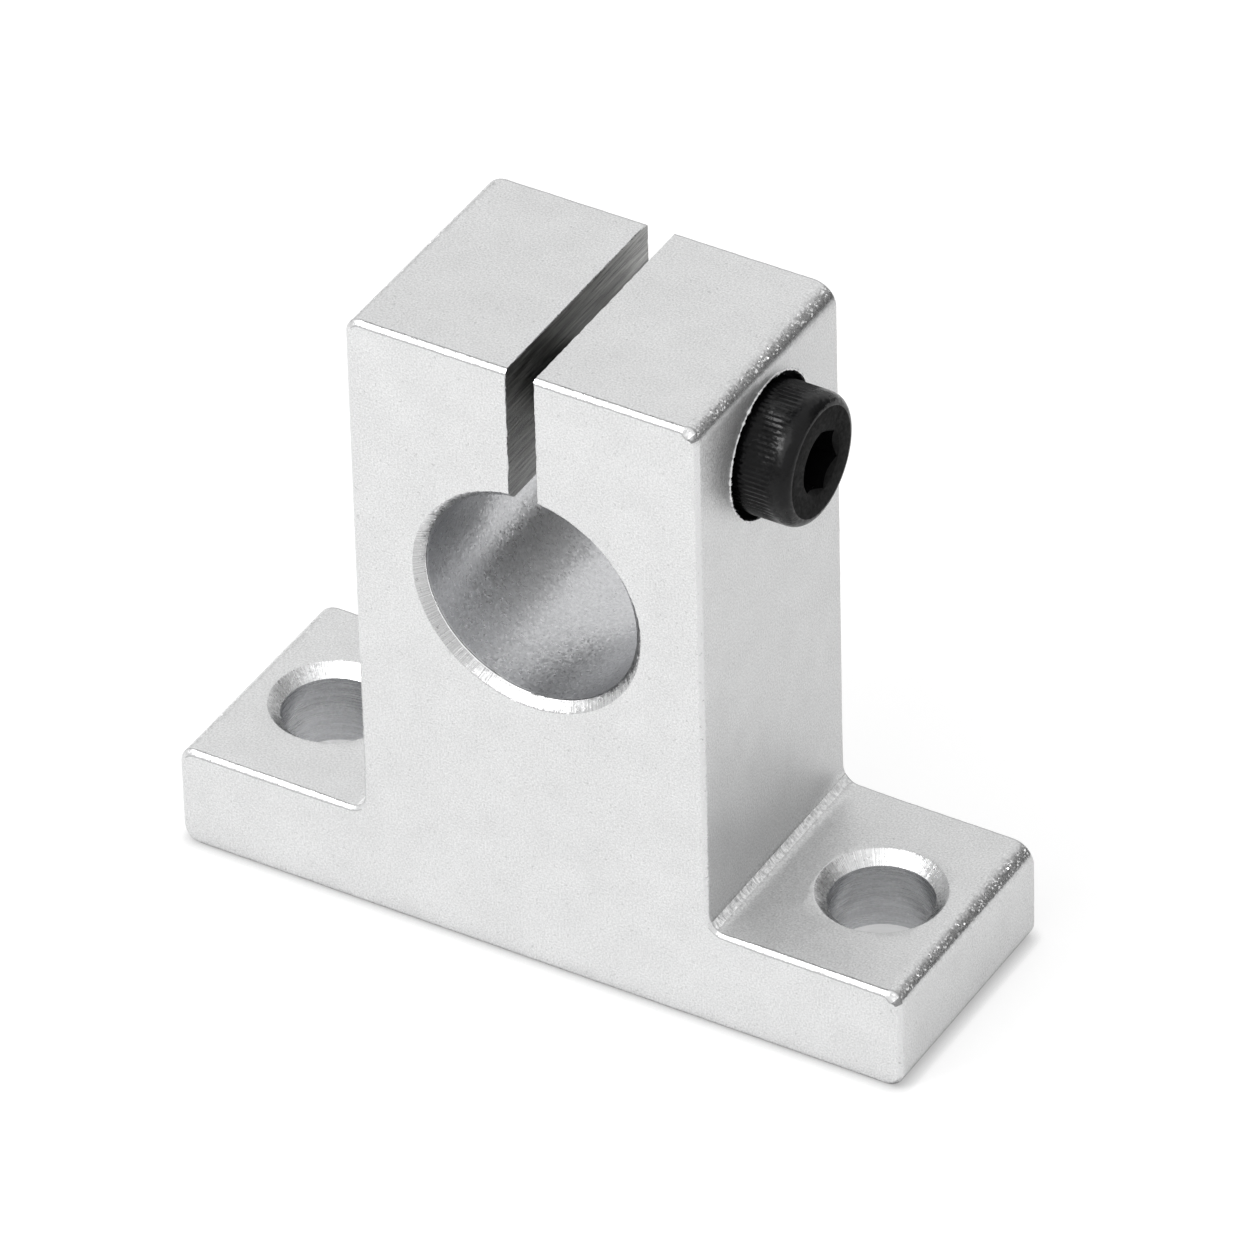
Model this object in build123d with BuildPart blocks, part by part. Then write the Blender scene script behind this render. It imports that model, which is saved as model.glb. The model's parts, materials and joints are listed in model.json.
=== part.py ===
"""A shaft support block: a slotted aluminium pedestal that grips a 12 mm shaft, and its M4 clamp screw.

Millimetres. X runs along the base, Y along the shaft and Z up. The origin is the middle of the underside.
The screw's head is on the +X side of the column, and its thread is in the lug on the -X side.
"""
from build123d import *
from math import cos, pi, radians, tan
import os

# The shaft and its bore
shaft_diameter = 12.0
shaft_height = 23.0
bore_chamfer = 0.5

# The base and its two mounting holes
block_width = 14.0
foot_height = 6.0
foot_length = 11.0
mount_hole_diameter = 5.5
mount_hole_to_end = 5.0
mount_countersink = 0.65

# The column and the slot that splits its top into two lugs
column_wall = 4.0
slot_width = 1.6

# Rounded corners of the profile, and the bevel round both of its faces
top_radius = 1.1
foot_end_radius = 1.1
underside_radius = 1.0
root_radius = 0.9
edge_break = 0.22

# The clamp screw, a socket head cap screw
screw_diameter = 4.0
screw_length = 16.0
screw_tip_chamfer = 0.5
head_diameter = 7.0
head_height = 4.0
head_rim_radius = 0.55
hex_across_flats = 3.0
hex_depth = 2.0
hex_turn = 37.0
socket_lead_in = 0.2
socket_cone_angle = 120.0

# How the screw sits in the lugs
wall_over_bore = 0.45
wall_over_counterbore = 1.45
counterbore_depth = 1.1
head_clearance = 0.35
screw_hole_clearance = 0.25
thread_clearance = 0.05
tapped_hole_chamfer = 0.4

# What follows from the sizes above
bore_radius = shaft_diameter / 2
column_length = shaft_diameter + 2 * column_wall
base_length = column_length + 2 * foot_length
mount_spacing = base_length - 2 * mount_hole_to_end
shank_radius = screw_diameter / 2
head_radius = head_diameter / 2
screw_hole_radius = shank_radius + screw_hole_clearance
tapped_hole_radius = shank_radius + thread_clearance
counterbore_radius = head_radius + head_clearance
screw_height = shaft_height + bore_radius + wall_over_bore + screw_hole_radius
block_height = screw_height + counterbore_radius + wall_over_counterbore
lug_face = column_length / 2
seat = lug_face - counterbore_depth
head_face = seat + head_height
socket_floor = head_face - hex_depth
socket_radius = hex_across_flats / 2
socket_corner_radius = socket_radius / cos(pi / 6)
socket_cone_height = socket_radius / tan(radians(socket_cone_angle / 2))
to_the_plane = (Align.CENTER, Align.CENTER, Align.MAX)


def corners(sketch, half_length, height):
    """The two corners of a profile, left and right, at this distance from its middle and this height."""
    return [
        sketch.vertices().sort_by_distance((side * half_length, height, 0))[0]
        for side in (-1, 1)
    ]


def along_screw(distance):
    """A plane across the screw's axis at this distance along X, facing the head's side."""
    return Plane(origin=(distance, 0, screw_height), x_dir=(0, 1, 0), z_dir=(1, 0, 0))


with BuildPart() as support_block:
    # The extruded bar: a base with a column in its middle
    with BuildSketch(Plane.XZ) as profile:
        Rectangle(base_length, foot_height, align=(Align.CENTER, Align.MIN))
        Rectangle(column_length, block_height, align=(Align.CENTER, Align.MIN))
        fillet(corners(profile, column_length / 2, block_height), top_radius)
        fillet(corners(profile, base_length / 2, foot_height), foot_end_radius)
        fillet(corners(profile, base_length / 2, 0), underside_radius)
        fillet(corners(profile, column_length / 2, foot_height), root_radius)
    extrude(amount=block_width / 2, both=True)
    chamfer(faces().filter_by(Axis.Y).edges(), edge_break)

    # The bore for the shaft, with a chamfer at both mouths
    with BuildSketch(Plane.XZ) as bore:
        with Locations((0, shaft_height)):
            Circle(bore_radius)
    extrude(amount=block_width / 2, both=True, mode=Mode.SUBTRACT)
    chamfer(edges(Select.LAST).filter_by(GeomType.CIRCLE), bore_chamfer)

    # The saw cut from the top into the bore
    with BuildSketch(Plane.XZ) as slot:
        with Locations((0, shaft_height)):
            Rectangle(slot_width, block_height, align=(Align.CENTER, Align.MIN))
    extrude(amount=block_width, both=True, mode=Mode.SUBTRACT)

    # The two countersunk mounting holes
    with BuildSketch(Plane.XY) as mounting_holes:
        with GridLocations(mount_spacing, block_width, 2, 1):
            Circle(mount_hole_diameter / 2)
    extrude(amount=foot_height, mode=Mode.SUBTRACT)
    mount_rims = edges(Select.LAST).filter_by(GeomType.CIRCLE).group_by(Axis.Z)[-1]
    chamfer(mount_rims, mount_countersink)

    # The screw's counterbore and clearance hole in one lug, and its tapped hole in the other
    with Locations(along_screw(lug_face)):
        CounterBoreHole(screw_hole_radius, counterbore_radius, counterbore_depth, depth=lug_face)
    with BuildSketch(along_screw(-lug_face)) as tapped_hole:
        Circle(tapped_hole_radius)
    extrude(amount=lug_face, mode=Mode.SUBTRACT)
    tapped_rim = edges(Select.LAST).filter_by(GeomType.CIRCLE).sort_by(Axis.X)[0]
    chamfer(tapped_rim, tapped_hole_chamfer)

with BuildPart() as clamp_screw:
    # The turned blank: the shank with its bevelled tip, and the head
    with BuildSketch(along_screw(seat)) as head:
        Circle(head_radius)
    extrude(amount=head_height)
    fillet(edges().sort_by(Axis.X)[-1], head_rim_radius)
    with BuildSketch(along_screw(seat)) as shank:
        Circle(shank_radius)
    extrude(amount=-screw_length)
    chamfer(edges().filter_by(GeomType.CIRCLE).sort_by(Axis.X)[0], screw_tip_chamfer)

    # The hexagon socket, the cone that the drill leaves under it, and the bevel at its mouth
    with BuildSketch(along_screw(head_face)) as hexagon:
        RegularPolygon(socket_radius, side_count=6, major_radius=False, rotation=hex_turn)
    extrude(amount=-hex_depth, mode=Mode.SUBTRACT)
    with Locations(along_screw(socket_floor)):
        Cone(0, socket_radius, socket_cone_height, align=to_the_plane, mode=Mode.SUBTRACT)
    with Locations(along_screw(head_face)):
        Cone(
            socket_corner_radius - socket_lead_in,
            socket_corner_radius,
            socket_lead_in,
            align=to_the_plane,
            mode=Mode.SUBTRACT,
        )

support_block.part.label = "support_block"
clamp_screw.part.label = "clamp_screw"

os.makedirs("parts", exist_ok=True)
export_step(support_block.part, "parts/support_block.step")
export_step(clamp_screw.part, "parts/clamp_screw.step")
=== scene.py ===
"""The looks of a shaft support block: blasted aluminium with bright cut edges, and its black clamp screw.

Sizes are in millimetres, and meshes are made in metres. X runs along the base, Y along the shaft and
Z up. The frame gives the sizes that it holds, and the rest are named here.
"""

import json
from math import ceil, cos, floor, hypot, pi, radians, sin, tan

import bmesh
import bpy
from mathutils import Matrix, Vector
from mathutils.noise import noise


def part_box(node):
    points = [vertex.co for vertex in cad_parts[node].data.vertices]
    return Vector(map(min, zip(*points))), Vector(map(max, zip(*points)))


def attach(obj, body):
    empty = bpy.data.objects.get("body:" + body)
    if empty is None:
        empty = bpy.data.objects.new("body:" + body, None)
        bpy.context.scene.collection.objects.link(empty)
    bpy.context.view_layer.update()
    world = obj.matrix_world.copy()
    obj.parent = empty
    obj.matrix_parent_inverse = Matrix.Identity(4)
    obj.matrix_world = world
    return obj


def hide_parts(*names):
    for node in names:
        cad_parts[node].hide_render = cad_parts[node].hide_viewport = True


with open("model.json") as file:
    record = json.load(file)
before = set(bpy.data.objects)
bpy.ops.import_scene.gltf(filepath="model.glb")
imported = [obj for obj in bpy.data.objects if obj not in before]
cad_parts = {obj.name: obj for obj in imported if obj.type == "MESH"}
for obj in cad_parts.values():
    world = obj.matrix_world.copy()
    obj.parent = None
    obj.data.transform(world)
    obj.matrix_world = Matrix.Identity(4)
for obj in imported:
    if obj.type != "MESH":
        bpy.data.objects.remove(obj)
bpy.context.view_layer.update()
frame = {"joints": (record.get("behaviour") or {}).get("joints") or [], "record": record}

MM = 0.001
BLOCK, SCREW = "support_block", "clamp_screw"


def corners_of(node):
    """The lowest and highest corner of a CAD node in millimetres."""
    return [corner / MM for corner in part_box(node)]


def mount(name):
    """The record's mount of this name."""
    return next(m for m in frame["record"]["mounts"] if m["name"] == name)


# Sizes that the frame gives
half_base, half_width, block_height = corners_of(BLOCK)[1]
bore_radius = mount("shaft_bore")["dims"]["r_mm"]
bore_height = mount("shaft_bore")["pos_m"][2] / MM
bore_chamfer = half_width - mount("shaft_bore")["dims"]["length_mm"] / 2
mount_x = mount("base_bolts")["dims"]["spacing_x_mm"] / 2
mount_radius = mount("base_bolts")["dims"]["hole_r_mm"]
screw_low, screw_high = corners_of(SCREW)
screw_tip, head_face = screw_low.x, screw_high.x
head_radius = screw_high.y
screw_height = (screw_low.z + screw_high.z) / 2
# The screw's joint is where its head sits
seat = frame["joints"][0]["pos_m"][0] / MM

# The block's other sizes. The heights of the mounting holes' stretches painted bright are given by side.
half_column = 10.0
foot_height = 6.0
half_slot = 0.8
underside_radius = 1.0
root_radius = 0.9
front_rounding = 0.92
back_rounding = 1.25
edge_break = 0.22
mount_countersink = 0.65
band_painted_bright_heights = {-1: 1.35, 1: 1.55}
counterbore_radius = 3.85
counterbore_chamfer = 0.04
screw_hole_radius = 2.25
tapped_radius = 2.05
tapped_chamfer = 0.4
tapped_depth = 0.22
lip_size = 0.06
burr_size = 0.035
saw_mark_depth = 0.010
chatter_depth = 0.018
drill_ring_depth = 0.004

# Where the front's two right corners were struck: back from each corner, the reach, and the bevel's growth
struck_back = (0.46, 0.11)
struck_reach = 0.44
struck_growth = 0.6

# Stretches of the outline with a colour of their own, from how far its normal faces up
# The root's stretch is painted brighter: painted light against the corner's shade
root_painted_light_line = (0.52, 0.90)
# On the front bevel round the right outer corners, this stretch is painted dark: a painted dark ring
ring_painted_dark_line = (0.30, 0.68)
# Bevel rims where the outline faces up more than this are painted dark: a painted dark reflection
rim_painted_dark_line = 0.7

# The screw's other sizes. The knurl's margins are from the seat and from the rim.
shank_radius = 2.0
tip_chamfer = 0.5
neck_length = 0.25
underhead_fillet = 0.2
head_edge = 0.25
head_rim = 0.57
head_rim_length = 0.75
socket_radius = 1.5
socket_depth = 2.0
socket_cone = 0.87
socket_turn = radians(37)
socket_lead_slope = tan(radians(40))
knurl_teeth = 76
knurl_depth = 0.045
knurl_margins = (0.35, 0.25)
knurl_fades = (0.15, 0.2)

# The thread, with half of its crest and each flank as shares of its pitch
thread_pitch = 0.7
thread_depth = 0.42
thread_half_crest = 0.08
thread_flank = 0.32

# Colours of the surfaces
blasted_colour = (0.69, 0.692, 0.693)
# Partly painted light: brighter than the faces, against the corner's shade
root_painted_light_colour = (0.93, 0.932, 0.935)
bevel_colour = (0.66, 0.662, 0.665)
# Painted dark reflection along the bevels that face up
rim_painted_dark_colour = (0.46, 0.462, 0.465)
# Painted dark ring round the highlight of each struck corner
ring_painted_dark_colour = (0.26, 0.261, 0.263)
bore_chamfer_colour = (0.76, 0.762, 0.765)
countersink_colour = (0.74, 0.742, 0.745)
bored_colour = (0.61, 0.614, 0.626)
sawn_colour = (0.56, 0.56, 0.55)
drilled_colour = (0.68, 0.685, 0.70)
# Painted bright: the bore's lines and the mounting holes' lowest stretches
band_painted_bright_colour = (1.0, 1.0, 1.0)
# Painted shade for the clamp screw's holes
hole_painted_shade_colour = (0.10, 0.10, 0.105)
oxide_colour = (0.003, 0.003, 0.0033)
matt_oxide_colour = (0.011, 0.011, 0.011)


# Node trees


def add(tree, kind, inputs=None, **properties):
    """Adds a node. An input is given a value, or linked if it is given a socket."""
    node = tree.nodes.new(kind)
    for name, value in properties.items():
        setattr(node, name, value)
    for name, value in (inputs or {}).items():
        if isinstance(value, bpy.types.NodeSocket):
            tree.links.new(value, node.inputs[name])
        else:
            node.inputs[name].default_value = value
    return node


def new_material(name, metallic=1.0):
    """A material with its Principled shader, and the tree that feeds it."""
    material = bpy.data.materials.new(name)
    material.use_nodes = True
    shader = material.node_tree.nodes["Principled BSDF"]
    shader.inputs["Metallic"].default_value = metallic
    return material, material.node_tree, shader


def value_of(tree, operation, first, second=0.0):
    """The value that a math operation makes of one or two others."""
    return add(tree, "ShaderNodeMath", {0: first, 1: second}, operation=operation).outputs[0]


def vector_of(tree, operation, first, second=(0, 0, 0)):
    """The vector that a math operation makes of one or two others."""
    return add(tree, "ShaderNodeVectorMath", {0: first, 1: second}, operation=operation).outputs[0]


def scaled(tree, vector, amount):
    """A vector or a colour times a value."""
    return add(tree, "ShaderNodeVectorMath", {0: vector, "Scale": amount}, operation="SCALE").outputs[0]


def times(tree, first, second):
    """The product of two values."""
    return value_of(tree, "MULTIPLY", first, second)


def parts_of(tree, vector):
    """A vector's X, Y and Z."""
    return add(tree, "ShaderNodeSeparateXYZ", {0: vector}).outputs


def position(tree, stretch=(1, 1, 1)):
    """Object coordinates in millimetres, stretched along the axes."""
    coordinates = add(tree, "ShaderNodeTexCoord").outputs["Object"]
    return vector_of(tree, "MULTIPLY", coordinates, [share / MM for share in stretch])


def surface_normal(tree):
    """The way the surface faces."""
    return add(tree, "ShaderNodeNewGeometry").outputs["Normal"]


def grain(tree, place, scale, detail=2.0, roughness=0.6):
    """A noise value about 0.5, with this many features to a millimetre."""
    inputs = {"Vector": place, "Scale": scale, "Detail": detail, "Roughness": roughness}
    return add(tree, "ShaderNodeTexNoise", inputs).outputs["Fac"]


def ramp(tree, factor, low, high, at=(0.3, 0.7)):
    """Maps a factor to values between two ends."""
    inputs = {"Value": factor, "From Min": at[0], "From Max": at[1], "To Min": low, "To Max": high}
    return add(tree, "ShaderNodeMapRange", inputs).outputs["Result"]


def turned_strokes(tree, first, second, count, folded=False):
    """Fine strokes along the slope of a turned cone, from the angle about its axis.

    Each of the two axes across the cone's own is (letter, where the cone's axis is, in millimetres).
    Folded takes the first one's size alone, for cones on both sides of the block's middle.
    """
    parts = parts_of(tree, position(tree))
    across = parts[first[0]]
    if folded:
        across = value_of(tree, "ABSOLUTE", across)
    across = value_of(tree, "SUBTRACT", across, first[1])
    along = value_of(tree, "SUBTRACT", parts[second[0]], second[1])
    turn = value_of(tree, "ARCTAN2", across, along)
    inputs = {"W": turn, "Scale": count, "Detail": 2}
    return add(tree, "ShaderNodeTexNoise", inputs, noise_dimensions="1D").outputs["Fac"]


def flatness(tree):
    """1 on the block's flat faces, falling to 0 halfway round a rounded edge between two of them."""
    parts = parts_of(tree, vector_of(tree, "ABSOLUTE", surface_normal(tree)))
    widest = value_of(tree, "MAXIMUM", parts["X"], parts["Z"])
    widest = value_of(tree, "MAXIMUM", widest, parts["Y"])
    return ramp(tree, widest, 0.0, 1.0, at=(0.80, 0.997))


def facets(tree, place, scale, tilt, sparkle=None, share=0.1, lean=(0, 0, 0)):
    """A normal that each small cell of the surface tilts its own way, as the pits of blasting do.

    The tilt is a number or a value. A share of the cells tilts further by the sparkle, and leans one way.
    """
    cells = add(tree, "ShaderNodeTexVoronoi", {"Vector": place, "Scale": scale}).outputs["Color"]
    centred = vector_of(tree, "SUBTRACT", cells, (0.5, 0.5, 0.5))
    mixed = vector_of(tree, "ADD", surface_normal(tree), scaled(tree, centred, tilt))
    if sparkle:
        chance = add(tree, "ShaderNodeTexWhiteNoise", {"Vector": cells}).outputs["Value"]
        chosen = value_of(tree, "GREATER_THAN", chance, 1 - share)
        leaning = vector_of(tree, "ADD", centred, lean)
        mixed = vector_of(tree, "ADD", mixed, scaled(tree, leaning, times(tree, chosen, sparkle)))
    return vector_of(tree, "NORMALIZE", mixed)


def bump(tree, height, depth, normal=None):
    """A normal from a height of this depth in millimetres, over another normal if one is given."""
    inputs = {"Height": height, "Distance": depth * MM, "Strength": 1.0}
    if normal:
        inputs["Normal"] = normal
    return add(tree, "ShaderNodeBump", inputs).outputs["Normal"]


def finish_shader(tree, shader, colour, roughness, normal):
    """Links what a surface's colour, roughness and normal come from."""
    tree.links.new(colour, shader.inputs["Base Color"])
    tree.links.new(roughness, shader.inputs["Roughness"])
    tree.links.new(normal, shader.inputs["Normal"])


# Materials


def blasted_aluminium():
    """Fine bead blast under clear anodising: pale and faintly speckled.

    Tumbling left the upper half of each rounded edge full of tiny bright facets, and its lower half smooth.
    """
    material, tree, shader = new_material("blasted_aluminium_fine")
    place = position(tree)
    flat = flatness(tree)
    edge = value_of(tree, "SUBTRACT", 1.0, flat)
    upper = ramp(tree, parts_of(tree, surface_normal(tree))["Z"], 0.0, 1.0, at=(0.50, 0.64))

    speckle = ramp(tree, grain(tree, place, 10, detail=3, roughness=0.75), 0.77, 1.23)
    flecks = ramp(tree, grain(tree, place, 4.5), 0.80, 1.0, at=(0.27, 0.34))
    mottling = ramp(tree, grain(tree, place, 0.5, detail=3), 0.97, 1.03)
    colour = scaled(tree, blasted_colour, times(tree, times(tree, speckle, flecks), mottling))

    edge_roughness = ramp(tree, upper, 0.12, 0.24, at=(0, 1))
    roughness = ramp(tree, flat, edge_roughness, 0.46, at=(0, 1))
    roughness = value_of(tree, "ADD", roughness, ramp(tree, grain(tree, place, 5), 0.0, 0.06))

    tilt = ramp(tree, flat, ramp(tree, upper, 0.03, 0.24, at=(0, 1)), 0.14, at=(0, 1))
    sparkle = times(tree, times(tree, edge, upper), 1.3)
    normal = facets(tree, place, 11, tilt, sparkle=sparkle, share=0.15, lean=(0, -0.35, 0.7))
    rough_places = value_of(tree, "MAXIMUM", flat, upper)
    normal = bump(tree, times(tree, grain(tree, place, 7), rough_places), 0.005, normal)
    finish_shader(tree, shader, colour, roughness, normal)
    return material


def milled_root_painted_light():
    """The corner between the column and a foot: a line of the cutter's short strokes, with painted light.
    """
    material, tree, shader = new_material("milled_root_painted_light")
    place = position(tree)
    strokes = grain(tree, position(tree, (0.25, 1, 0.25)), 8, detail=3, roughness=0.7)
    speckle = ramp(tree, grain(tree, place, 7, detail=3), 0.85, 1.15)
    colour = scaled(tree, root_painted_light_colour, times(tree, speckle, ramp(tree, strokes, 0.72, 1.18)))
    roughness = ramp(tree, strokes, 0.42, 0.56)
    normal = bump(tree, strokes, 0.08, facets(tree, place, 8, tilt=0.4))
    finish_shader(tree, shader, colour, roughness, normal)
    return material


def bright_edge(name, tint):
    """The bevels that are cut last: smoother, with sparse pits."""
    material, tree, shader = new_material(name)
    place = position(tree)
    pits = ramp(tree, grain(tree, place, 4), 0.55, 1.0, at=(0.26, 0.34))
    colour = scaled(tree, tint, pits)
    roughness = ramp(tree, grain(tree, place, 5), 0.24, 0.34)
    normal = bump(tree, grain(tree, place, 7), 0.006, facets(tree, place, 9, tilt=0.16))
    finish_shader(tree, shader, colour, roughness, normal)
    return material


def turned_chamfer(name, tint, strokes_at, darkening_height):
    """A cone that a turning cutter left: smooth, with fine strokes along its slope.

    It gets darker from a fade's length above the darkening height to as far below it.
    """
    fade = 1.5
    material, tree, shader = new_material(name)
    place = position(tree)
    strokes = turned_strokes(tree, *strokes_at)
    pits = ramp(tree, grain(tree, place, 5), 0.6, 1.0, at=(0.28, 0.36))
    height = parts_of(tree, place)["Z"]
    # The colour darkens towards the bottom
    dull = ramp(tree, height, 0.72, 1.0, at=(darkening_height - fade, darkening_height + fade))
    shade = times(tree, times(tree, pits, dull), ramp(tree, strokes, 0.74, 1.16))
    colour = scaled(tree, tint, shade)
    roughness = ramp(tree, grain(tree, place, 5), 0.24, 0.32)
    normal = bump(tree, strokes, 0.012, facets(tree, place, 9, tilt=0.14))
    finish_shader(tree, shader, colour, roughness, normal)
    return material


def bored_aluminium():
    """The bore's wall: smoother than the faces, with fine flecks and the tool's faint lines round it."""
    material, tree, shader = new_material("bored_aluminium")
    place = position(tree)
    lines = grain(tree, position(tree, (0.07, 1, 0.07)), 6)
    speckle = ramp(tree, grain(tree, place, 7, detail=3, roughness=0.75), 0.84, 1.16)
    flecks = ramp(tree, grain(tree, place, 4.5), 0.75, 1.0, at=(0.28, 0.35))
    colour = scaled(tree, bored_colour, times(tree, speckle, flecks))
    roughness = ramp(tree, grain(tree, place, 4), 0.26, 0.32)
    normal = bump(tree, lines, 0.002, facets(tree, place, 10, tilt=0.12))
    finish_shader(tree, shader, colour, roughness, normal)
    return material


def hole_painted_shade():
    """The clamp screw's holes, painted dark: painted shade in the gaps round the screw."""
    material, tree, shader = new_material("hole_painted_shade")
    place = position(tree)
    colour = scaled(tree, hole_painted_shade_colour, ramp(tree, grain(tree, place, 4, detail=3), 0.7, 1.2))
    roughness = ramp(tree, grain(tree, place, 3), 0.35, 0.5)
    rings = grain(tree, position(tree, (1, 0.1, 0.1)), 5, detail=3)
    finish_shader(tree, shader, colour, roughness, bump(tree, rings, 0.01))
    return material


def sawn_aluminium():
    """The slot's walls: dark, with the saw's long streaks along the shaft's direction."""
    material, tree, shader = new_material("sawn_aluminium")
    streaks = grain(tree, position(tree, (1, 0.05, 1)), 6, detail=5, roughness=0.75)
    patches = grain(tree, position(tree, (1, 0.3, 1)), 0.8)
    dark = times(tree, ramp(tree, streaks, 0.25, 1.0, at=(0.34, 0.66)), ramp(tree, patches, 0.75, 1.1))
    colour = scaled(tree, sawn_colour, dark)
    roughness = ramp(tree, streaks, 0.3, 0.5)
    finish_shader(tree, shader, colour, roughness, bump(tree, streaks, 0.04))
    return material


def drilled_aluminium():
    """A drilled wall: grey, with fine rings across the drill's axis."""
    material, tree, shader = new_material("drilled_aluminium")
    rings = grain(tree, position(tree, (0.05, 0.05, 1)), 6, detail=5, roughness=0.75)
    speckle = ramp(tree, grain(tree, position(tree), 8, detail=3), 0.9, 1.08)
    colour = scaled(tree, drilled_colour, times(tree, ramp(tree, rings, 0.72, 1.02), speckle))
    roughness = ramp(tree, rings, 0.2, 0.34)
    finish_shader(tree, shader, colour, roughness, bump(tree, rings, 0.004))
    return material


def glossy_band_painted_bright():
    """A glossy band painted bright: painted reflections low in the mounting holes, a painted highlight in
    the bore.
    """
    material, tree, shader = new_material("glossy_band_painted_bright")
    rings = grain(tree, position(tree, (0.05, 0.05, 1)), 4, detail=3)
    colour = scaled(tree, band_painted_bright_colour, ramp(tree, rings, 0.94, 1.04))
    roughness = ramp(tree, rings, 0.10, 0.15)
    finish_shader(tree, shader, colour, roughness, bump(tree, rings, 0.002))
    return material


def black_oxide(name, colour, specular, roughnesses):
    """Blackened steel with a trace of oil."""
    material, tree, shader = new_material(name, metallic=0.0)
    shader.inputs["Specular IOR Level"].default_value = specular
    place = position(tree)
    wear = grain(tree, position(tree, (0.3, 1, 1)), 5, detail=4, roughness=0.7)
    base = scaled(tree, colour, ramp(tree, wear, 0.5, 1.6))
    roughness = ramp(tree, grain(tree, place, 2.5, detail=3), *roughnesses)
    normal = bump(tree, grain(tree, place, 9, detail=3), 0.006, facets(tree, place, 6, tilt=0.12))
    finish_shader(tree, shader, base, roughness, normal)
    return material


# Mesh tools


def to_object(bm, name, materials):
    """An object from a mesh in millimetres, which is emptied."""
    bmesh.ops.scale(bm, vec=(MM, MM, MM), verts=bm.verts)
    mesh = bpy.data.meshes.new(name)
    bm.to_mesh(mesh)
    bm.free()
    for material in materials:
        mesh.materials.append(material)
    made = bpy.data.objects.new(name, mesh)
    bpy.context.scene.collection.objects.link(made)
    return made


def band(bm, lower, upper, material=0):
    """Faces between two closed rows of as many vertices."""
    count = len(lower)
    made = []
    for i in range(count):
        j = (i + 1) % count
        face = bm.faces.new((lower[i], lower[j], upper[j], upper[i]))
        face.material_index = material
        made.append(face)
    return made


def lathe(rows, axis, origin, segments=128, finishes=None):
    """A closed solid of revolution. Each row is (distance along the axis, radius or its function of angle).

    The finishes give a band's material by its number. The others get the first one.
    """
    finishes = finishes or {}
    bm = bmesh.new()
    across = axis.orthogonal().normalized()
    other = axis.cross(across)
    rings = []
    for along, radius in rows:
        ring = []
        for i in range(segments):
            angle = 2 * pi * i / segments
            r = radius(angle) if callable(radius) else radius
            outward = across * cos(angle) + other * sin(angle)
            ring.append(bm.verts.new(origin + axis * along + outward * r))
        rings.append(ring)
    for number, (lower, upper) in enumerate(zip(rings, rings[1:])):
        band(bm, lower, upper, finishes.get(number, 0))
    bm.faces.new(rings[0])
    bm.faces.new(rings[-1])
    bmesh.ops.recalc_face_normals(bm, faces=bm.faces)
    return bm


def evaluated(made):
    """The object's mesh with its modifiers applied, which it keeps from then on."""
    bpy.context.view_layer.update()
    graph = bpy.context.evaluated_depsgraph_get()
    mesh = bpy.data.meshes.new_from_object(made.evaluated_get(graph), depsgraph=graph)
    made.modifiers.clear()
    made.data = mesh
    return made


def cut(made, cutters):
    """Takes each cutter out of the object. The new walls get the cutter's material."""
    for cutter in cutters:
        boolean = made.modifiers.new("cut", "BOOLEAN")
        boolean.object = cutter
        boolean.solver = "EXACT"
        boolean.material_mode = "TRANSFER"
    evaluated(made)
    for cutter in cutters:
        bpy.data.objects.remove(cutter)


def smooth(made, sharp=radians(32)):
    """Smooth shading that flat faces keep flat, with edges past this angle sharp."""
    bm = bmesh.new()
    bm.from_mesh(made.data)
    for face in bm.faces:
        face.smooth = True
    for edge in bm.edges:
        edge.smooth = edge.calc_face_angle(0) < sharp
    bm.to_mesh(made.data)
    bm.free()
    weighted = made.modifiers.new("normals", "WEIGHTED_NORMAL")
    weighted.keep_sharp = True
    weighted.weight = 100
    return evaluated(made)


# The block


def rounded_outline(corners, step=0.22, arc_steps=12):
    """Points round a polygon with square corners. A corner is (point, radius).

    Each point has its outward normal, and says whether it is on an inside corner's arc.
    """
    outline = []
    for i, (corner, radius) in enumerate(corners):
        following, next_radius = corners[(i + 1) % len(corners)]
        into = (corner - corners[i - 1][0]).normalized()
        out = (following - corner).normalized()
        turn = 1 if into.cross(out) > 0 else -1
        centre = corner + (out - into) * radius
        first, last = Vector((into.y, -into.x)), Vector((out.y, -out.x))
        for k in range(arc_steps + 1):
            angle = pi / 2 * k / arc_steps
            normal = first * cos(angle) + last * sin(angle)
            outline.append((centre + normal * radius * turn, normal, turn < 0))
        start, stop = corner + out * radius, following - out * next_radius
        pieces = ceil((following - corner).length / step)
        outline += [(start.lerp(stop, k / pieces), last, False) for k in range(1, pieces)]
    return outline


def outline_at(y):
    """The bar's outline at this place along the shaft. Its outer corners get rounder to the back."""
    share = (y + half_width) / (2 * half_width)
    rounding = front_rounding + (back_rounding - front_rounding) * share
    corners = [
        ((-half_base, 0), underside_radius),
        ((half_base, 0), underside_radius),
        ((half_base, foot_height), rounding),
        ((half_column, foot_height), root_radius),
        ((half_column, block_height), rounding),
        ((-half_column, block_height), rounding),
        ((-half_column, foot_height), root_radius),
        ((-half_base, foot_height), rounding),
    ]
    return rounded_outline([(Vector(point), radius) for point, radius in corners])


def struck(point, side):
    """How hard tumbling struck a point of the outline, from 0 to 1 at the front's two right corners."""
    if side > 0:
        return 0
    inward, down = struck_back
    tops = ((half_column, block_height), (half_base, foot_height))
    away = min(hypot(point.x - reach + inward, point.y - height + down) for reach, height in tops)
    return max(0, 1 - (away / struck_reach) ** 2)


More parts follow.
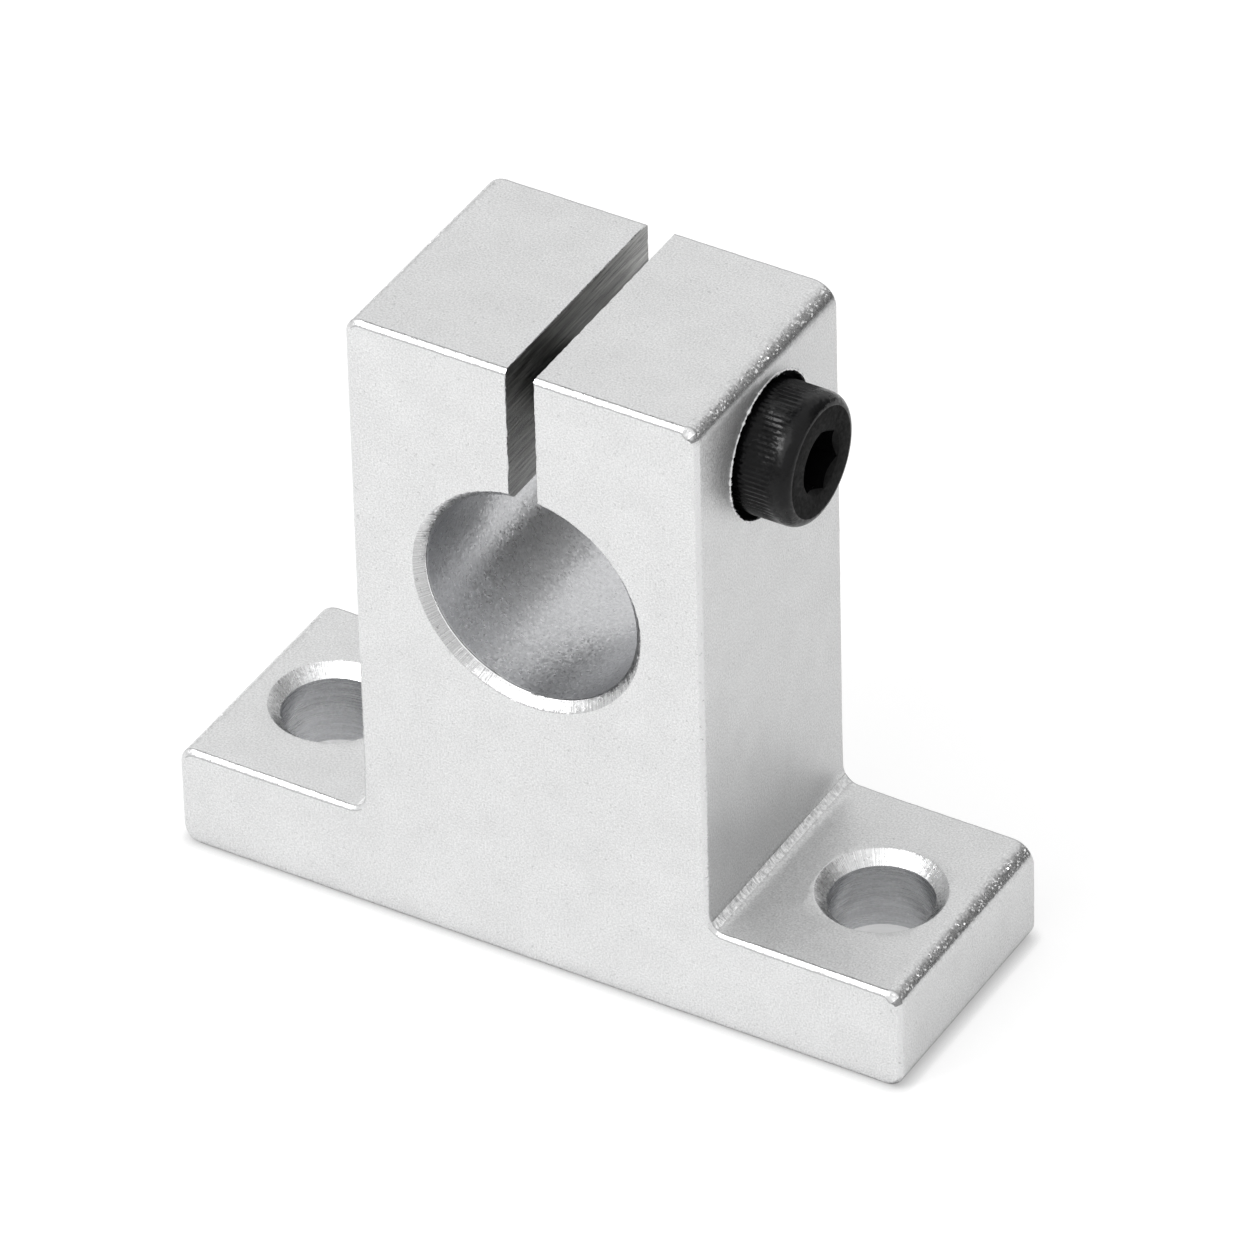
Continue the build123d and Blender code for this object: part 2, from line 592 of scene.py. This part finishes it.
def bevel_size(point, side, boundary):
    """The bevel's size at a point of the outline.

    It wavers, narrows within 3 mm of the column's roots, and widens where a corner was struck.
    """
    root = hypot(abs(point.x) - half_column, point.y - foot_height)
    share = 1 - 0.3 * max(0, 1 - root / 3.0) + struck_growth * struck(point, side)
    wave = noise(Vector((point.x * 0.7, point.y * 0.7, side * 7 + boundary * 3)))
    ripple = noise(Vector((point.x * 2.9, point.y * 2.9, side * 5 + boundary * 11)))
    return edge_break * share * (1 + 0.08 * wave + 0.09 * ripple)


def block_blank(faces, bevel, root, rim, ring_painted_dark):
    """The extruded bar with a bevel round both faces, before any hole."""
    # The bevel's section from the end face to the side: inset and depth as shares of its size
    section = [(1.36, 0), (1.06, 0.04), (0.86, 0.14), (0.14, 0.86), (0.04, 1.06), (0, 1.36)]
    spans = 8
    bm = bmesh.new()
    rows = []
    for side, shares in ((-1, section), (1, section[::-1])):
        for inset, depth in shares:
            row = []
            for point, normal, _ in outline_at(side * half_width):
                x, z = point - normal * inset * bevel_size(point, side, 0)
                y = side * (half_width - depth * bevel_size(point, side, 1))
                row.append(bm.verts.new((x, y, z)))
            rows.append(row)
        if side < 0:
            for k in range(1, spans):
                y = half_width * (2 * k / spans - 1)
                rows.append([bm.verts.new((point.x, y, point.y)) for point, _, _ in outline_at(y)])

    # Each face's finish, from the band that it is in and the way its stretch of the outline faces
    slots = {"faces": 0, "bevel": 1, "root": 2, "rim": 3, "ring_painted_dark": 4}
    last = len(rows) - 2
    front_bevel = range(len(section) - 1)
    sides = range(len(section) - 1, len(section) + spans - 1)
    rims = (0, len(section) - 2, last - len(section) + 2, last)
    for k, (lower, upper) in enumerate(zip(rows, rows[1:])):
        usual = "faces" if k in sides or k in rims else "bevel"
        made = band(bm, lower, upper, slots[usual])
        for face, (point, normal, inside) in zip(made, outline_at(0)):
            # In the inside corners the root's material paints light against the corner's shade
            if k in sides and inside and root_painted_light_line[0] < normal.y < root_painted_light_line[1]:
                face.material_index = slots["root"]
            # Where the outline faces up, the bevel's outer bands are painted dark: a painted dark
            # reflection
            if k in rims and normal.y > rim_painted_dark_line:
                face.material_index = slots["rim"]
            # On the front bevel round the right outer corners the colour is painted dark: a painted dark
            # ring
            upward = ring_painted_dark_line[0] < normal.y < ring_painted_dark_line[1]
            if k in front_bevel and upward and point.x > 0 and not inside:
                face.material_index = slots["ring_painted_dark"]
    bm.faces.new(rows[0])
    bm.faces.new(rows[-1])
    bmesh.ops.recalc_face_normals(bm, faces=bm.faces)
    return to_object(bm, "aluminium_block", [faces, bevel, root, rim, ring_painted_dark])


def uneven(radius, size, waves, seed):
    """A radius that wavers round its circle by this size, with so many waves to a millimetre."""
    def at(angle):
        turn = Vector((cos(angle), sin(angle), 0)) * radius * waves
        return radius + size * noise(turn + Vector((0, 0, seed)))
    return at


def bore_cutter(wall, chamfer, line):
    """The bore, with a wavering chamfer at both mouths and a line painted bright where it meets the wall.
    """
    end, inner = half_width, half_width - bore_chamfer
    outer = bore_radius + bore_chamfer
    rows = []
    for side in (-1, 1):
        half = [
            (side * (end + 0.1), uneven(outer + 0.20, size=0.03, waves=2.5, seed=side)),
            (side * (end - 0.03), uneven(outer - 0.01, size=0.03, waves=2.5, seed=side)),
            (side * (inner + 0.05), uneven(bore_radius + 0.05, size=0.02, waves=2.0, seed=side * 3)),
            (side * (inner - 0.09), bore_radius),
        ]
        rows += half if side < 0 else half[::-1]
    # The two bands at each end are the chamfers, and the next one is the line painted bright
    finishes = {0: 1, 1: 1, 2: 2, 4: 2, 5: 1, 6: 1}
    bm = lathe(rows, Vector((0, 1, 0)), Vector((0, 0, bore_height)), segments=320, finishes=finishes)
    return to_object(bm, "bore_cutter", [wall, chamfer, line])


def half_gap(side, y, z):
    """Half of the slot's width, and whether it flares there.

    It flares unevenly at its mouths, and carries the saw's fine marks.
    """
    place = Vector((side * 9, y * 3.1, z * 3.1))
    burr = max(0.01, burr_size + 0.03 * noise(place) + 0.04 * noise(place * 2.7))
    beyond = max(abs(y) - half_width, z - block_height) + burr
    marks = saw_mark_depth * noise(Vector((side * 5, y * 0.12, z * 4.1)))
    return half_slot + max(0, beyond) + marks, beyond > 0


def slot_cutter(wall, burr):
    """The saw cut from above the top into the bore."""
    step, columns = 0.2, 70
    # Rows of points that lie close together at a mouth, from inside the block to outside
    margin = [0.15, 0.1, 0.05, 0.0, -0.4]
    inner = [-half_width + 2 * half_width * k / columns for k in range(2, columns - 1)]
    ys = [-half_width + m for m in margin[::-1]] + inner + [half_width - m for m in margin]
    low = bore_height
    count = ceil((block_height - 2 * step - low) / step)
    zs = [low + (block_height - step - low) * k / count for k in range(count + 1)]
    zs += [block_height - m for m in margin]
    bm = bmesh.new()
    walls = []
    for side in (-1, 1):
        grid = [[bm.verts.new((side * half_gap(side, y, z)[0], y, z)) for z in zs] for y in ys]
        walls.append(grid)
        for i in range(len(ys) - 1):
            for j in range(len(zs) - 1):
                around = (grid[i][j], grid[i + 1][j], grid[i + 1][j + 1], grid[i][j + 1])
                ends = ((ys[i], zs[j]), (ys[i + 1], zs[j + 1]))
                face = bm.faces.new(around)
                face.material_index = int(any(half_gap(side, y, z)[1] for y, z in ends))
    left, right = walls
    for line in (0, -1):
        for i in range(len(ys) - 1):
            bm.faces.new((left[i][line], left[i + 1][line], right[i + 1][line], right[i][line]))
        for j in range(len(zs) - 1):
            bm.faces.new((left[line][j], left[line][j + 1], right[line][j + 1], right[line][j]))
    bmesh.ops.recalc_face_normals(bm, faces=bm.faces)
    return to_object(bm, "slot_cutter", [wall, burr])


def chatter(radius, share, side):
    """A countersink's radius where its cutter chattered, in patches, by a share of the full depth."""
    ripples = 33

    def at(angle):
        patch = max(0, noise(Vector((cos(angle), sin(angle), side)) * 1.3) + 0.25)
        return radius + chatter_depth * share * patch * abs(sin(angle * ripples + share))
    return at


def mount_cutter(side, wall, bevel, band_painted_bright):
    """A foot's hole with its countersink, with the drill's rings and the cutter's chatter in its radius."""
    top = foot_height - mount_countersink
    ring_count = 44
    rows = [(-1.0, mount_radius)]
    for k in range(ring_count + 1):
        z = top * k / ring_count
        rows.append((z, mount_radius + drill_ring_depth * noise(Vector((side * 9, 0, z * 3.1)))))
    for rise, share in ((0.22, 0.6), (0.42, 1.0)):
        rows.append((top + rise, chatter(mount_radius + rise, share, side)))
    rim = mount_radius + mount_countersink
    rows += [
        (foot_height - 0.02, rim - 0.02),
        (foot_height + 0.05, rim + 0.1),
        (foot_height + 1, rim + 0.1),
    ]
    cone = {number: 1 for number in range(ring_count + 1, ring_count + 6)}
    bm = lathe(rows, Vector((0, 0, 1)), Vector((side * mount_x, 0, 0)), segments=264, finishes=cone)
    # The wall's lowest stretch is painted bright, as a painted reflection
    for face in bm.faces:
        if face.material_index == 0 and face.calc_center_median().z < band_painted_bright_heights[side]:
            face.material_index = 2
    return to_object(bm, "mount_cutter", [wall, bevel, band_painted_bright])


def screw_hole_cutter(material):
    """The clearance hole from the slot to the seat, and the counterbore with its fine chamfer."""
    rim = counterbore_radius
    mouth = rim + counterbore_chamfer
    rows = [
        (0.0, screw_hole_radius),
        (seat, screw_hole_radius),
        (seat, rim),
        (half_column - 0.05, rim),
        (half_column + 0.01, mouth),
        (half_column + 0.5, mouth),
    ]
    bm = lathe(rows, Vector((1, 0, 0)), Vector((0, 0, screw_height)), segments=192)
    return to_object(bm, "screw_hole_cutter", [material])


def thread_radius(along, angle, crest, depth):
    """A thread's radius: a flat crest, straight flanks and a flat root, once in each pitch."""
    share = (along / thread_pitch - angle / (2 * pi)) % 1
    down = min(max((abs(share - 0.5) - thread_half_crest) / thread_flank, 0), 1)
    return crest - depth * down


def tapped_thread(x, angle):
    """The tapped hole's radius: crests at the drilled hole, and roots outside the screw's thread."""
    return thread_radius(x, angle, tapped_radius + tapped_depth, tapped_depth)


def tap_cutter(material):
    """The tapped hole in the far lug: its mouth, and grooves outside the screw's thread."""
    mouth = tapped_radius + tapped_chamfer
    rows = [
        (-half_column - 0.5, mouth + 0.4),
        (-half_column + 0.04, mouth - 0.04),
        (-half_column + tapped_chamfer, tapped_radius),
    ]
    step = thread_pitch / 10
    count = floor((half_column - tapped_chamfer - half_slot) / step) - 1
    for k in range(1, count):
        x = -half_column + tapped_chamfer + k * step
        rows.append((x, lambda angle, x=x: tapped_thread(x, angle)))
    rows += [(-half_slot - step, tapped_radius), (0.0, tapped_radius)]
    bm = lathe(rows, Vector((1, 0, 0)), Vector((0, 0, screw_height)), segments=64)
    return to_object(bm, "tap_cutter", [material])


def counterbore_lip(material):
    """The fine lip that the counterbore's cutter raised round its mouth, worn through here and there."""
    bm = bmesh.new()
    segments, around, thinnest = 300, 6, 0.004
    rings = []
    for i in range(segments):
        angle = 2 * pi * i / segments
        out = Vector((0, cos(angle), sin(angle)))
        size = max(lip_size + 0.05 * noise(out * 9) + 0.09 * noise(out * 24), thinnest)
        centre = Vector((half_column, 0, screw_height)) + out * (counterbore_radius + lip_size)
        ring = []
        for k in range(around):
            turn = 2 * pi * k / around
            ring.append(bm.verts.new(centre + (out * cos(turn) + Vector((sin(turn), 0, 0))) * size))
        rings.append(ring)
    for i in range(segments):
        band(bm, rings[i - 1], rings[i])
    bmesh.ops.recalc_face_normals(bm, faces=bm.faces)
    return smooth(to_object(bm, "counterbore_lip", [material]))


def dress_block():
    """The block as machined, from its blank and the tools that cut it."""
    bevel = bright_edge("cut_bevel", bevel_colour)
    drilled, band_painted_bright, holes_painted_shade = drilled_aluminium(), glossy_band_painted_bright(), hole_painted_shade()
    about_bore = (("X", 0), ("Z", bore_height), 90)
    about_mount = (("X", mount_x), ("Y", 0), 60, True)
    bore_cone = turned_chamfer("bore_chamfer", bore_chamfer_colour, about_bore, darkening_height=bore_height + 3)
    foot_cone = turned_chamfer("countersink", countersink_colour, about_mount, darkening_height=0)
    block = block_blank(
        faces=blasted_aluminium(),
        bevel=bevel,
        # The root's colour is partly painted light
        root=milled_root_painted_light(),
        # The rims are painted dark
        rim=bright_edge("bevel_rim_painted_dark", rim_painted_dark_colour),
        # A painted dark ring round the struck corners' highlight
        ring_painted_dark=bright_edge("corner_ring_painted_dark", ring_painted_dark_colour),
    )
    cutters = [
        # The bore's inner lines and the mounting holes' lowest stretches are painted bright
        bore_cutter(bored_aluminium(), bore_cone, band_painted_bright),
        slot_cutter(sawn_aluminium(), bevel),
        mount_cutter(-1, drilled, foot_cone, band_painted_bright),
        mount_cutter(1, drilled, foot_cone, band_painted_bright),
        # The screw's holes are painted dark: painted shade
        screw_hole_cutter(holes_painted_shade),
        tap_cutter(holes_painted_shade),
    ]
    cut(block, cutters)
    smooth(block)
    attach(block, "block")
    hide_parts(BLOCK)
    lip = counterbore_lip(bevel)
    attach(lip, "block")


# The clamp screw


def hexagon_radius(angle):
    """The socket's radius at this angle about the screw's axis."""
    sector = (angle - socket_turn) % (pi / 3)
    return socket_radius / cos(sector - pi / 6)


def knurled(along, angle):
    """The head's radius where it is knurled: fine teeth along the axis that fade out at both ends."""
    start = seat + knurl_margins[0]
    end = head_face - head_rim_length - knurl_margins[1]
    rising = min(max((along - start) / knurl_fades[0], 0), 1)
    falling = min(max((end - along) / knurl_fades[1], 0), 1)
    tooth = abs((angle * knurl_teeth / (2 * pi)) % 1 - 0.5) * 2
    return head_radius - knurl_depth * rising * falling * tooth


def shank_thread(x, angle):
    """The shank's radius: the thread, which starts from the tip's chamfer and runs out under the head."""
    limit = shank_radius - tip_chamfer + (x - screw_tip)
    run_out = min(max((seat - 0.5 - x) / thread_pitch, 0), 1)
    return min(thread_radius(x, angle, shank_radius, thread_depth * run_out), limit)


def screw_rows():
    """The screw's rows from its tip to the bottom of its socket, as (distance along X, radius of angle)."""
    rows = [(screw_tip, shank_radius - tip_chamfer)]
    step = thread_pitch / 12
    for k in range(1, floor((seat - screw_tip - 0.4) / step)):
        x = screw_tip + k * step
        rows.append((x, lambda angle, x=x: shank_thread(x, angle)))
    rows += [
        (seat - neck_length, shank_radius),
        (seat, shank_radius + underhead_fillet),
        (seat, head_radius - head_edge),
        (seat + 0.08, head_radius - 0.06),
        (seat + head_edge, head_radius),
    ]
    side_rows, rim_rows = 16, 10
    for k in range(1, side_rows + 1):
        x = seat + head_edge + k * (head_face - head_rim_length - seat - head_edge) / side_rows
        rows.append((x, lambda angle, x=x: knurled(x, angle)))
    for k in range(1, rim_rows + 1):
        turn = pi / 2 * k / rim_rows
        x = head_face - head_rim_length * (1 - sin(turn))
        rows.append((x, head_radius - head_rim * (1 - cos(turn))))
    lead_in = socket_radius / cos(pi / 6) + 0.03
    lead_start = head_face - 0.01
    rows += [
        (head_face, lead_in + 0.04),
        (lead_start, lead_in),
        (lambda angle: lead_start - (lead_in - hexagon_radius(angle)) * socket_lead_slope, hexagon_radius),
        (head_face - socket_depth, hexagon_radius),
        (head_face - socket_depth, socket_radius * 0.98),
        (head_face - socket_depth - socket_cone, 0.05),
    ]
    return rows


def clamp_screw():
    """The screw, with its thread, knurled head and hexagon socket, in one closed mesh."""
    bm = bmesh.new()
    segments = knurl_teeth * 6
    rings = []
    for along, radius in screw_rows():
        ring = []
        for i in range(segments):
            angle = 2 * pi * i / segments
            x = along(angle) if callable(along) else along
            r = radius(angle) if callable(radius) else radius
            ring.append(bm.verts.new((x, r * cos(angle), screw_height + r * sin(angle))))
        rings.append(ring)
    # The end face and the socket's lead-in are duller than the rest
    dull = range(len(rings) - 7, len(rings) - 4)
    for number, (lower, upper) in enumerate(zip(rings, rings[1:])):
        band(bm, lower, upper, int(number in dull))
    bm.faces.new(rings[0])
    bm.faces.new(rings[-1])
    bmesh.ops.recalc_face_normals(bm, faces=bm.faces)
    return bm


def dress_screw():
    """The screw in black oxide, glossier round its head than on its face."""
    side = black_oxide("black_oxide", oxide_colour, specular=0.2, roughnesses=(0.18, 0.28))
    face = black_oxide("black_oxide_matt", matt_oxide_colour, specular=0.015, roughnesses=(0.4, 0.5))
    screw = to_object(clamp_screw(), "black_cap_screw", [side, face])
    smooth(screw, sharp=radians(28))
    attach(screw, "screw")
    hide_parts(SCREW)


# The stage


def white_to_the_eye(tree, reflected=1.0):
    """1 for a camera ray, this much for a glossy or transmission ray, and 0 for any other."""
    path = add(tree, "ShaderNodeLightPath").outputs
    mirrored = value_of(tree, "MAXIMUM", path["Is Glossy Ray"], path["Is Transmission Ray"])
    return value_of(tree, "MAXIMUM", path["Is Camera Ray"], times(tree, mirrored, reflected))


def white_world(light=0.42):
    """A plain white surround. The light that it throws on things is this share of its white."""
    world = bpy.data.worlds.new("white_surround")
    world.use_nodes = True
    tree = world.node_tree
    background = tree.nodes["Background"]
    background.inputs["Color"].default_value = (1, 1, 1, 1)
    strength = ramp(tree, white_to_the_eye(tree), light, 1.0, at=(0, 1))
    tree.links.new(strength, background.inputs["Strength"])
    bpy.context.scene.world = world


def glowing(name, roughness):
    """A material that shines in white by itself. Its strength is linked where it is used."""
    material, tree, shader = new_material(name, metallic=0.0)
    shader.inputs["Roughness"].default_value = roughness
    shader.inputs["Specular IOR Level"].default_value = 0.0
    shader.inputs["Emission Color"].default_value = (1, 1, 1, 1)
    return material, tree, shader


def white_floor(size=6000, contact_reach=0.8):
    """A wide pale floor with the block's soft shadow, and a painted contact shadow where the block touches
    it.
    """
    bm = bmesh.new()
    bmesh.ops.create_grid(bm, x_segments=1, y_segments=1, size=size / 2)
    material, tree, shader = glowing("white_floor", roughness=0.9)
    # Close to the block, the floor's colour and glow fall with its openness: a painted contact shadow
    inputs = {"Distance": contact_reach * MM}
    openness = add(tree, "ShaderNodeAmbientOcclusion", inputs, samples=4).outputs["AO"]
    eye = add(tree, "ShaderNodeLightPath").outputs["Is Camera Ray"]
    to_others = ramp(tree, openness, 0.30, 0.78, at=(0.5, 0.95))
    tree.links.new(ramp(tree, eye, to_others, 0.35, at=(0, 1)), shader.inputs["Base Color"])
    seen = white_to_the_eye(tree, reflected=0.24)
    glow = times(tree, seen, ramp(tree, openness, 0.37, 0.70, at=(0.5, 1)))
    tree.links.new(glow, shader.inputs["Emission Strength"])
    to_object(bm, "floor", [material])


def facing(made, toward, distance, lift=15):
    """Puts a lamp or card in this direction from a point above the block's middle, looking at it."""
    direction = Vector(toward).normalized()
    made.location = (direction * distance + Vector((0, 0, lift))) * MM
    made.rotation_mode = "QUATERNION"
    made.rotation_quaternion = direction.to_track_quat("Z", "Y")


def card(name, toward, distance, size, shades, lift=15):
    """A card of a photographer's set, which shows only in reflections.

    Its shades are those at its foot and at its top.
    """
    bm = bmesh.new()
    bmesh.ops.create_grid(bm, x_segments=1, y_segments=1, size=0.5)
    bmesh.ops.scale(bm, vec=(size[0], size[1], 1), verts=bm.verts)
    material, tree, shader = glowing(name, roughness=1.0)
    shader.inputs["Base Color"].default_value = (0, 0, 0, 1)
    height = parts_of(tree, position(tree))["Y"]
    half = size[1] / 2
    tree.links.new(ramp(tree, height, *shades, at=(-half, half)), shader.inputs["Emission Strength"])
    made = to_object(bm, name, [material])
    facing(made, toward, distance, lift)
    made.visible_camera = False
    made.visible_diffuse = False
    made.visible_shadow = False


def softbox(name, toward, distance, size, brightness, in_gloss=True):
    """A rectangular soft lamp. Its brightness is that of its face, where white paper has 1."""
    data = bpy.data.lights.new(name, "AREA")
    data.shape = "RECTANGLE"
    data.size, data.size_y = size[0] * MM, size[1] * MM
    data.energy = brightness * pi * data.size * data.size_y
    made = bpy.data.objects.new(name, data)
    bpy.context.scene.collection.objects.link(made)
    facing(made, toward, distance)
    made.visible_glossy = in_gloss


def camera():
    """The photograph's view, from the right, the front and above."""
    yaw, pitch, roll = radians(30.975), radians(37.789), radians(-1.513)
    distance, shift_right, shift_up, aim_height = 665.6, 1.342, -0.252, 17.0
    long_side, focal_pixels, sensor = 1254, 13313, 36.0
    back = Vector((sin(yaw) * cos(pitch), -cos(yaw) * cos(pitch), sin(pitch)))
    right = Vector((cos(yaw), sin(yaw), 0))
    up = back.cross(right)
    across = right * cos(roll) + up * sin(roll)
    upward = up * cos(roll) - right * sin(roll)
    target = Vector((0, 0, aim_height)) + right * shift_right + up * shift_up
    data = bpy.data.cameras.new("photo_view")
    data.sensor_width = sensor
    data.lens = focal_pixels / long_side * sensor
    made = bpy.data.objects.new("photo_view", data)
    bpy.context.scene.collection.objects.link(made)
    turned = Matrix((across, upward, back)).transposed().to_4x4()
    made.matrix_world = Matrix.Translation((target + back * distance) * MM) @ turned
    bpy.context.scene.camera = made


camera()
dress_block()
dress_screw()
white_world()
white_floor()
card("dark_card_right", (0.68, 0.73, 0), distance=200, size=(170, 280), shades=(0.05, 0.62), lift=140)
card("dark_card_back", (-0.59, 0.81, 0), distance=400, size=(700, 80), shades=(0.2, 0.2))
card("dark_card_front", (-0.407, -0.91, 0.04), distance=500, size=(700, 50), shades=(0.01, 0.01))
card("dark_card_over", (-0.41, 0.05, 0.91), distance=400, size=(380, 70), shades=(0.01, 0.01))
softbox("key_lamp", (-0.41, -0.61, 0.68), distance=400, size=(100, 100), brightness=14.0)
softbox("fill_lamp", (-0.35, -0.50, 0.75), distance=440, size=(700, 400), brightness=1.5)
softbox("floor_lamp", (0.10, 0.30, 0.95), distance=430, size=(600, 500), brightness=0.9, in_gloss=False)

bpy.context.scene.view_settings.view_transform = "Standard"
